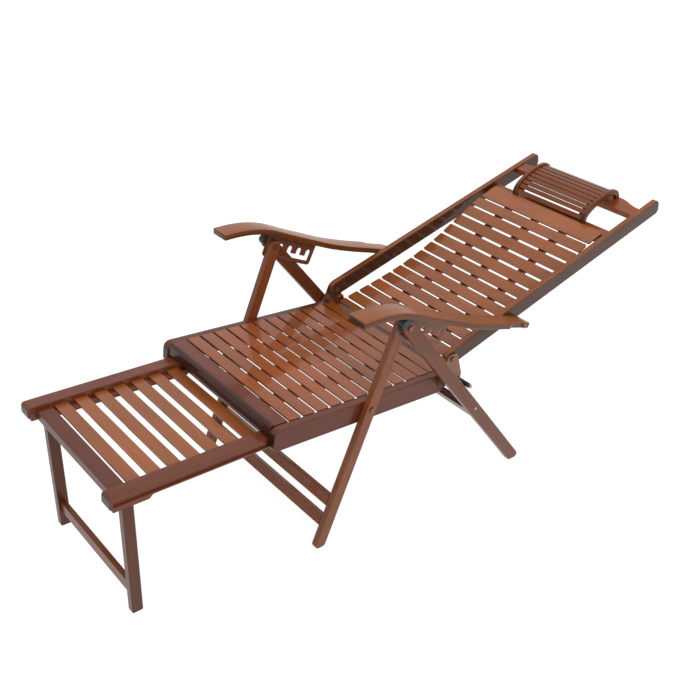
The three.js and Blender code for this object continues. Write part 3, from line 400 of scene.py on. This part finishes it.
# Footrest: two grooved rails with a cross rail at each end, seven slats let in below the
# rails' tops, and a narrow ledger along each rail that the slats rest on.
footrest_place = (-0.90555, 0.373, 0.0)
footrest_long = lacquered_bamboo("lacquered bamboo of footrest rails", "6E3620", board_streak, "X", footrest_place)
footrest_cross = lacquered_bamboo("lacquered bamboo of footrest ends", "5E2C1A", "3A180C", "Y", footrest_place)
for side in ("left", "right"):
    finish_node(f"footrest_rail_{side}", footrest_long)
finish_node("footrest_front_rail", footrest_cross)
finish_node("footrest_rear_rail", footrest_cross)
slat_wood = lacquered_bamboo("lacquered bamboo of slats", "8E4E24", "5E2C12", "Y", None, strip=26, spread=0.12, coat=0.5)
footrest_stations = []
for i in range(7):
    x, z = out_of(footrest_place, 0.0655 + 0.0497 * i + 0.015, -0.012)
    footrest_stations.append((x, z, 0.0, 0.03))
footrest_slats = lay_slats("footrest_slats", footrest_stations, 0.03, 0.3514, 0.0068, 0.0015, 5, slat_wood)
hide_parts("footrest_slat_panel")
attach(footrest_slats, "footrest")
ledger_outline = [
    out_of(footrest_place, x, z) for x, z in ((0.0583, -0.0355), (0.4207, -0.0355), (0.4207, -0.0189), (0.0583, -0.0189))
]
footrest_ledgers = bars("footrest_ledgers", ledger_outline, (-0.1697, 0.1697), 0.012, batten_wood)
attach(footrest_ledgers, "footrest")

# Footrest legs: a square leg under each rail with one stretcher, 33 mm high and 14 mm thick,
# between them.
footrest_leg_place = (-0.83555, 0.3317, math.radians(-3.4))
footrest_leg = lacquered_bamboo("lacquered bamboo of footrest legs", "592A14", board_streak, "Z", footrest_leg_place)
for side in ("left", "right"):
    finish_node(f"footrest_leg_{side}", footrest_leg)
bar_front, bar_back, bar_foot, bar_top = -0.02475, -0.01075, -0.2862, -0.2532
bar_outline = [
    out_of(footrest_leg_place, x, z)
    for x, z in ((bar_front, bar_foot), (bar_back, bar_foot), (bar_back, bar_top), (bar_front, bar_top))
]
footrest_bar = lacquered_bamboo("lacquered bamboo of footrest stretcher", "74370F", "43190B", "Y", None)
footrest_stretcher = bars("footrest_bar", bar_outline, (0,), 0.3396, footrest_bar, 0.0012)
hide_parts("footrest_leg_stretcher")
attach(footrest_stretcher, "footrest_legs")

# Front and rear legs: crossed pairs of boards, round at the head and foot, with stretchers
# let in between them. The front pair has two stretchers and the rear pair one wide one.
front_leg_place = (-0.23455, 0.38, math.radians(17.9))
front_leg = lacquered_bamboo("lacquered bamboo of front legs", "7C4222", board_streak, "Z", front_leg_place)
front_bar = lacquered_bamboo("lacquered bamboo of front stretchers", "7A3D18", "4A1E0C", "Y", front_leg_place)
rear_leg_place = (-0.16457, 0.59667, math.radians(-42.5))
rear_leg = lacquered_bamboo("lacquered bamboo of rear legs", "6A361C", board_streak, "Z", rear_leg_place)
rear_bar = lacquered_bamboo("lacquered bamboo of rear stretcher", "5E2513", board_streak, "Y", rear_leg_place)
for side in ("left", "right"):
    finish_node(f"front_leg_{side}", front_leg)
    finish_node(f"rear_leg_{side}", rear_leg)
finish_node("front_leg_upper_stretcher", front_bar)
finish_node("front_leg_lower_stretcher", front_bar)
finish_node("rear_leg_stretcher", rear_bar)

# Back frame: two long rails with rounded tips, joined by a low rail behind the slats, a
# middle rail below the pillow and a wide top rail that narrows towards its ends.
back_place = (0.05751, 0.42552, math.radians(-18.1))
# The back rails' sides are painted at 0.28 of their brightness: painted shade
back_long = lacquered_bamboo("lacquered bamboo of back rails", "804418", board_streak, "X", back_place, painted_side_shade=0.28)
back_cross = lacquered_bamboo("lacquered bamboo of back cross rails", "8A4620", "542610", "Y", back_place)
for side in ("left", "right"):
    finish_node(f"back_rail_{side}", back_long)
for name in ("back_lower_rail", "back_middle_rail", "back_top_rail"):
    finish_node(name, back_cross)

# Back slats: a narrow first slat, thirteen more and a wide head board, laid on three battens
# that are cut to one sagging curve, so that the panel takes the shape of a back.
bow = 0.046
bow_shares = (-0.68, -0.83, -0.96, -1, -0.87, -0.58, -0.13, 0.24, 0.34)
panel_start, first_width, pitch, gap = -0.014, 0.0284, 0.0445, 0.004
head_start = panel_start + first_width + gap + 13 * pitch
panel_end = head_start + 0.065


def through(points, share):
    spans = len(points) - 1
    at = min(max(share, 0), 1) * spans
    i = min(int(at), spans - 1)
    t = at - i
    a, b, c, d = (Vector(points[min(max(k, 0), spans)]) for k in (i - 1, i, i + 1, i + 2))
    rise_b, rise_c = (c - a) / 2, (d - b) / 2
    return (2 * b - 2 * c + rise_b + rise_c) * t ** 3 + (3 * c - 3 * b - 2 * rise_b - rise_c) * t ** 2 + rise_b * t + b


def even(points, count):
    fine = [through(points, i / 800) for i in range(801)]
    run = [0.0]
    for a, b in zip(fine, fine[1:]):
        run.append(run[-1] + (b - a).length)
    spaced, k = [], 0
    for i in range(count + 1):
        want = run[-1] * i / count
        while k < 799 and run[k + 1] < want:
            k += 1
        spaced.append(fine[k].lerp(fine[k + 1], (want - run[k]) / (run[k + 1] - run[k])))
    return spaced


bow_points = [
    (panel_start + (panel_end - panel_start) * i / 8, share * bow) for i, share in enumerate(bow_shares)
]
bow_table = even(bow_points, 13)


def bow_at(x):
    k = next((i for i, point in enumerate(bow_table) if point.x >= x), len(bow_table) - 1)
    a, b = bow_table[max(k, 1) - 1], bow_table[max(k, 1)]
    return a.y + (b.y - a.y) * (x - a.x) / (b.x - a.x)


back_stations = []
slat_width = 0.034
widths = [(panel_start + 0.004, 0.0204)]
first_start = panel_start + first_width + gap + (pitch - gap - slat_width) / 2
widths += [(first_start + i * pitch, slat_width) for i in range(13)]
widths += [(head_start + 0.003, panel_end - head_start - 0.003)]
for start, width in widths:
    rise = math.atan2(bow_at(start + width - 0.0003) - bow_at(start), width)
    x, z = start + width / 2 * math.cos(rise), bow_at(start) + width / 2 * math.sin(rise)
    x, z = out_of(back_place, x, z)
    back_stations.append((x, z, back_place[2] - rise, width))
back_slats = lay_slats("back_slats", back_stations, slat_width, 0.418, 0.0067, 0.003, 23, slat_wood)
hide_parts("back_slat_panel")
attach(back_slats, "back")
batten_ends = (0.0093, panel_end - 0.0193)
line = [Vector((batten_ends[0], bow_at(batten_ends[0])))]
line += [point for point in bow_table if batten_ends[0] < point.x < batten_ends[1]]
line += [Vector((batten_ends[1], bow_at(batten_ends[1])))]
outline = [(p.x, p.y - 0.022) for p in line] + [(p.x, p.y - 0.0069) for p in reversed(line)]
back_battens = bars("back_battens", [out_of(back_place, *p) for p in outline], (-0.106, 0, 0.106), 0.02, batten_wood)
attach(back_battens, "back")


# Pillow: two arched frames, sawn from board and rounded over, stand on the middle and top
# rails. Ten narrow slats with open gaps are let in between them, a little below their tops.
def loft(name, rings, wood, tone_value):
    mesh = bpy.data.meshes.new(name)
    shell = bmesh.new()
    grain = shell.verts.layers.float_vector.new("grain")
    tone = shell.verts.layers.float.new("tone")
    made = []
    for ring in rings:
        verts = []
        for co, unbent in ring:
            vert = shell.verts.new(co)
            vert[grain] = unbent
            vert[tone] = tone_value
            verts.append(vert)
        made.append(verts)
    total = len(made[0])
    for a, b in zip(made, made[1:]):
        for i in range(total):
            j = (i + 1) % total
            shell.faces.new((a[i], a[j], b[j], b[i]))
    caps = [shell.faces.new(made[0]), shell.faces.new(list(reversed(made[-1])))]
    bmesh.ops.recalc_face_normals(shell, faces=shell.faces)
    for face in shell.faces:
        face.smooth = face not in caps
    shell.to_mesh(mesh)
    shell.free()
    mesh.materials.append(wood)
    mesh.set_sharp_from_angle(angle=math.radians(50))
    piece = bpy.data.objects.new(name, mesh)
    bpy.context.scene.collection.objects.link(piece)
    return piece


def rounded_section(low_y, high_y, half, radius):
    points = []
    for middle_y, middle_z, first in (
        (high_y - radius, half - radius, 0), (low_y + radius, half - radius, 90),
        (low_y + radius, radius - half, 180), (high_y - radius, radius - half, 270),
    ):
        for step in range(5):
            angle = math.radians(first + 22.5 * step)
            points.append((middle_y + radius * math.cos(angle), middle_z + radius * math.sin(angle)))
    return points


mid_rail_start = panel_end - 0.019
mid_rail_top = min(bow_at(mid_rail_start), bow_at(panel_end - 0.0003)) - 0.0086
top_rail_top, top_rail_start = 0.018, 0.889 - 0.053 - 0.056
pillow_front = panel_end + 0.0065 + 0.0006
pillow_rear = top_rail_start + 0.056 - 0.0015 - 0.0065
pillow_spans = (0, 0.03, 0.14, 0.37, 0.64, 0.86, 0.97, 1)
pillow_rises = (0.14, 0.49, 0.75, 0.93, 1, 0.9, 0.67, 0.32)
pillow_points = [
    [pillow_front + (pillow_rear - pillow_front) * s, 0.0545 * r] for s, r in zip(pillow_spans, pillow_rises)
]
pillow_points[0][1] = mid_rail_top + 0.0003
pillow_points[-1][1] = top_rail_top + 0.0003
pillow_line = even(pillow_points, 40)
frame_wood = lacquered_bamboo("lacquered bamboo of pillow frames", "6E3416", board_streak, "X", None)
for side, sign in (("left", -1), ("right", 1)):
    rings, run = [], 0.0
    for i, point in enumerate(pillow_line):
        before, after = pillow_line[max(i - 1, 0)], pillow_line[min(i + 1, 40)]
        run += (point - pillow_line[max(i - 1, 0)]).length
        tangent = (after - before).normalized()
        if i in (0, 40):
            tangent = Vector((0, 1 if i == 0 else -1))
        ring = []
        for y, z in rounded_section(0.126, 0.138, 0.0085, 0.0022):
            x, height = point.x - z * tangent.y, point.y + z * tangent.x
            place_x, place_z = out_of(back_place, x, height)
            ring.append(((place_x, sign * y, place_z), (run, y, z)))
        rings.append(ring)
    pillow_frame = loft(f"pillow_arch_{side}", rings, frame_wood, 0.4 + 0.2 * sign)
    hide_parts(f"pillow_frame_{side}")
    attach(pillow_frame, "back")
pillow_even = even([[p[0], p[1]] for p in pillow_points], 400)
pillow_stations = []
for i in range(10):
    share = 0.1 + 0.8 * i / 9
    k = round(share * 400)
    point, tangent = pillow_even[k], (pillow_even[k + 1] - pillow_even[k - 1]).normalized()
    rise = math.atan2(tangent.y, tangent.x)
    x, z = point.x - 0.002 * tangent.y, point.y + 0.002 * tangent.x
    x, z = out_of(back_place, x, z)
    pillow_stations.append((x, z, back_place[2] - rise, 0.0122))
pillow_wood = lacquered_bamboo("lacquered bamboo of pillow slats", "7A3E18", "54260C", "Y", None, strip=26, spread=0.12, coat=0.3)
pillow_slats = lay_slats("pillow_slats", pillow_stations, 0.0122, 0.2514, 0.006, 0.001, 31, pillow_wood)
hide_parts("pillow_slat_panel")
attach(pillow_slats, "back")
inner = pillow_even[40:361:10]
band = []
for offset in (0.0, -0.0055):
    edge = []
    for k, point in enumerate(inner):
        a, b = inner[max(k - 1, 0)], inner[min(k + 1, len(inner) - 1)]
        tangent = (b - a).normalized()
        edge.append((point.x - (offset - 0.0041) * tangent.y, point.y + (offset - 0.0041) * tangent.x))
    band += edge if offset == 0 else list(reversed(edge))
pillow_battens = bars("pillow_battens", [out_of(back_place, *p) for p in band], (-0.1167, 0.1167), 0.018, frame_wood, 0.0004)
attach(pillow_battens, "back")

# Armrests: one broad band on each side, bent from thin glued layers that show as fine lines
# along its edges. The nose is cut square and the tail is narrowed where its pin passes.
arm_place = (0.27298, 0.48859, 0.0)
arm_length, arm_rise, arm_half = 0.603, 0.167, 0.00775
arm_reaches = (1, 0.932, 0.866, 0.806, 0.75, 0.693, 0.635, 0.514, 0.388, 0.257, 0.121, 0, -0.04)
arm_rises = (0.993, 1.003, 0.993, 0.96, 0.906, 0.828, 0.74, 0.57, 0.396, 0.25, 0.119, 0, -0.046)
arm_line = even([(-s * arm_length, r * arm_rise) for s, r in zip(arm_reaches, arm_rises)], 120)
# The armrests' sides are painted at half their brightness: painted shade
arm_wood = lacquered_bamboo("lacquered bent bamboo of armrests", "884816", "50260C", "X", None, strip=30, coat=0.28, painted_side_shade=0.5)
inner_y, outer_y, tail_y = 0.243, 0.3005, 0.292
for side, sign in (("left", -1), ("right", 1)):
    runs = [0.0]
    for a, b in zip(arm_line, arm_line[1:]):
        runs.append(runs[-1] + (b - a).length)
    rings = []
    for i, point in enumerate(arm_line):
        before, after = arm_line[max(i - 1, 0)], arm_line[min(i + 1, 120)]
        tangent = (after - before).normalized()
        ends = [min(runs[i], runs[-1] - runs[i])]
        distances = [(ends[0], point)]
        if i == 0:
            distances = [(d, point + (tangent * d)) for d in (0.0, 0.0004, 0.0012, 0.0024, 0.0038)]
        if i == 120:
            distances = [(d, point - (tangent * d)) for d in (0.0038, 0.0024, 0.0012, 0.0004, 0.0)]
        for d, middle in distances:
            corner = 0.005
            inset = corner - math.sqrt(max(corner ** 2 - (corner - min(d + 0.0006, corner)) ** 2, 0))
            blend = min(max((middle.x + 0.072) / 0.02, 0), 1)
            outer = outer_y + (tail_y - outer_y) * blend * blend * (3 - 2 * blend)
            ease = 0.0014
            drop = ease - math.sqrt(max(ease ** 2 - (ease - min(d, ease)) ** 2, 0))
            half = arm_half - drop
            ring = []
            for y, z in rounded_section(inner_y + inset, outer - inset, half, min(0.0022, half * 0.9)):
                x, height = middle.x - z * tangent.y, middle.y + z * tangent.x
                place_x, place_z = out_of(arm_place, x, height)
                ring.append(((place_x, sign * y, place_z), (runs[i] + d * (i == 0), y, z)))
            rings.append(ring)
    arm = loft(f"bent_armrest_{side}", rings, arm_wood, 0.55 + 0.1 * sign)
    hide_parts(f"armrest_{side}")
    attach(arm, f"{side}_arm")


# Steel: comb plates are cut from sheet and painted brown, hinge brackets, bolts and pins are
# bronzed, and the tie rod and small bolt heads are zinc-plated and a little dull.
def steel(name, colour, metallic, roughness, grain_size):
    material = bpy.data.materials.new(name)
    material.use_nodes = True
    tree = material.node_tree
    where = add(tree, "ShaderNodeTexCoord").outputs["Object"]
    mottle = add(tree, "ShaderNodeTexNoise", {}, {"Vector": where, "Scale": 1 / grain_size, "Detail": 3.0}).outputs[0]
    value = add(tree, "ShaderNodeMapRange", {}, {"Value": mottle, "To Min": 0.8, "To Max": 1.15}).outputs["Result"]
    toned = add(tree, "ShaderNodeHueSaturation", {}, {"Value": value, "Color": linear(colour)})
    rough = add(tree, "ShaderNodeMapRange", {}, {
        "Value": mottle, "To Min": roughness - 0.08, "To Max": roughness + 0.1,
    })
    shader = tree.nodes["Principled BSDF"]
    tree.links.new(toned.outputs[0], shader.inputs["Base Color"])
    tree.links.new(rough.outputs["Result"], shader.inputs["Roughness"])
    shader.inputs["Metallic"].default_value = metallic
    return material


painted = steel("brown stove-enamelled sheet steel", "6A3A28", 0.0, 0.3, 0.004)
bracket_steel = steel("bronzed sheet steel", "84604C", 0.6, 0.38, 0.006)
zinc = steel("zinc-plated steel", "A9A39A", 1.0, 0.3, 0.003)
bronzed = steel("bronzed steel bolts", "7C5C4A", 0.9, 0.35, 0.003)
for side in ("left", "right"):
    finish_node(f"armrest_comb_{side}", painted, 0.0003)
    finish_node(f"back_hinge_bracket_{side}", bracket_steel, 0.0003)
    for node in ("front_leg_bolt", "back_hinge_pin", "footrest_leg_hinge", "top_pin_inner", "top_pin_outer", "armrest_pin"):
        finish_node(f"{node}_{side}", bronzed, 0.0005)
finish_node("tie_rod", zinc, 0.0004)

# Bolt heads: a domed zinc-plated head 10 mm across holds the wide stretcher in each rear leg.
bolt_stations = bpy.data.meshes.new("rear_leg_bolt_heads")
bolt_stations.from_pydata([(0.1444, -0.284, 0.262), (0.1444, 0.284, 0.262)], [], [])
heads = bpy.data.node_groups.new("domed bolt heads", "GeometryNodeTree")
heads.interface.new_socket("Stations", in_out="INPUT", socket_type="NodeSocketGeometry")
heads.interface.new_socket("Heads", in_out="OUTPUT", socket_type="NodeSocketGeometry")
dome = add(heads, "GeometryNodeMeshUVSphere", {}, {"Segments": 32, "Rings": 16, "Radius": 0.005})
dome = add(heads, "GeometryNodeInstanceOnPoints", {}, {
    "Points": add(heads, "NodeGroupInput").outputs[0], "Instance": dome.outputs["Mesh"], "Scale": (1, 0.5, 1),
})
dome = add(heads, "GeometryNodeRealizeInstances", {}, {"Geometry": dome.outputs[0]})
dome = add(heads, "GeometryNodeSetMaterial", {}, {"Geometry": dome.outputs[0], "Material": zinc})
add(heads, "NodeGroupOutput", {}, {0: dome.outputs[0]})
bolt_source = bpy.data.objects.new("rear_leg_bolt_heads", bolt_stations)
bpy.context.scene.collection.objects.link(bolt_source)
bolt_source.modifiers.new("heads", "NODES").node_group = heads
bolt_heads = plain_copy(bolt_source, "rear_leg_bolt_heads")
bolt_heads.data.shade_smooth()
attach(bolt_heads, "rear_legs")

# Rubber: soft caps on the heads of the rear legs, and sleeves on the tie rod, moulded in a
# black compound with a green cast.
rubber = bpy.data.materials.new("moulded black rubber")
rubber.use_nodes = True
rubber_tree = rubber.node_tree
rubber_where = add(rubber_tree, "ShaderNodeTexCoord").outputs["Object"]
pores = add(rubber_tree, "ShaderNodeTexNoise", {}, {"Vector": rubber_where, "Scale": 900.0, "Detail": 2.0}).outputs[0]
rubber_bump = add(rubber_tree, "ShaderNodeBump", {}, {"Height": pores, "Strength": 0.3, "Distance": 0.0003})
dust = add(rubber_tree, "ShaderNodeMapRange", {}, {"Value": pores, "To Min": 0.8, "To Max": 1.3}).outputs["Result"]
rubber_tone = add(rubber_tree, "ShaderNodeHueSaturation", {}, {"Value": dust, "Color": linear("1B2521")})
rubber_shader = rubber_tree.nodes["Principled BSDF"]
rubber_tree.links.new(rubber_tone.outputs[0], rubber_shader.inputs["Base Color"])
rubber_tree.links.new(rubber_bump.outputs[0], rubber_shader.inputs["Normal"])
rubber_shader.inputs["Roughness"].default_value = 0.45
for side in ("left", "right"):
    finish_node(f"rear_leg_cap_{side}", rubber, 0.0012)
    finish_node(f"rod_sleeve_{side}", rubber, 0.0006)
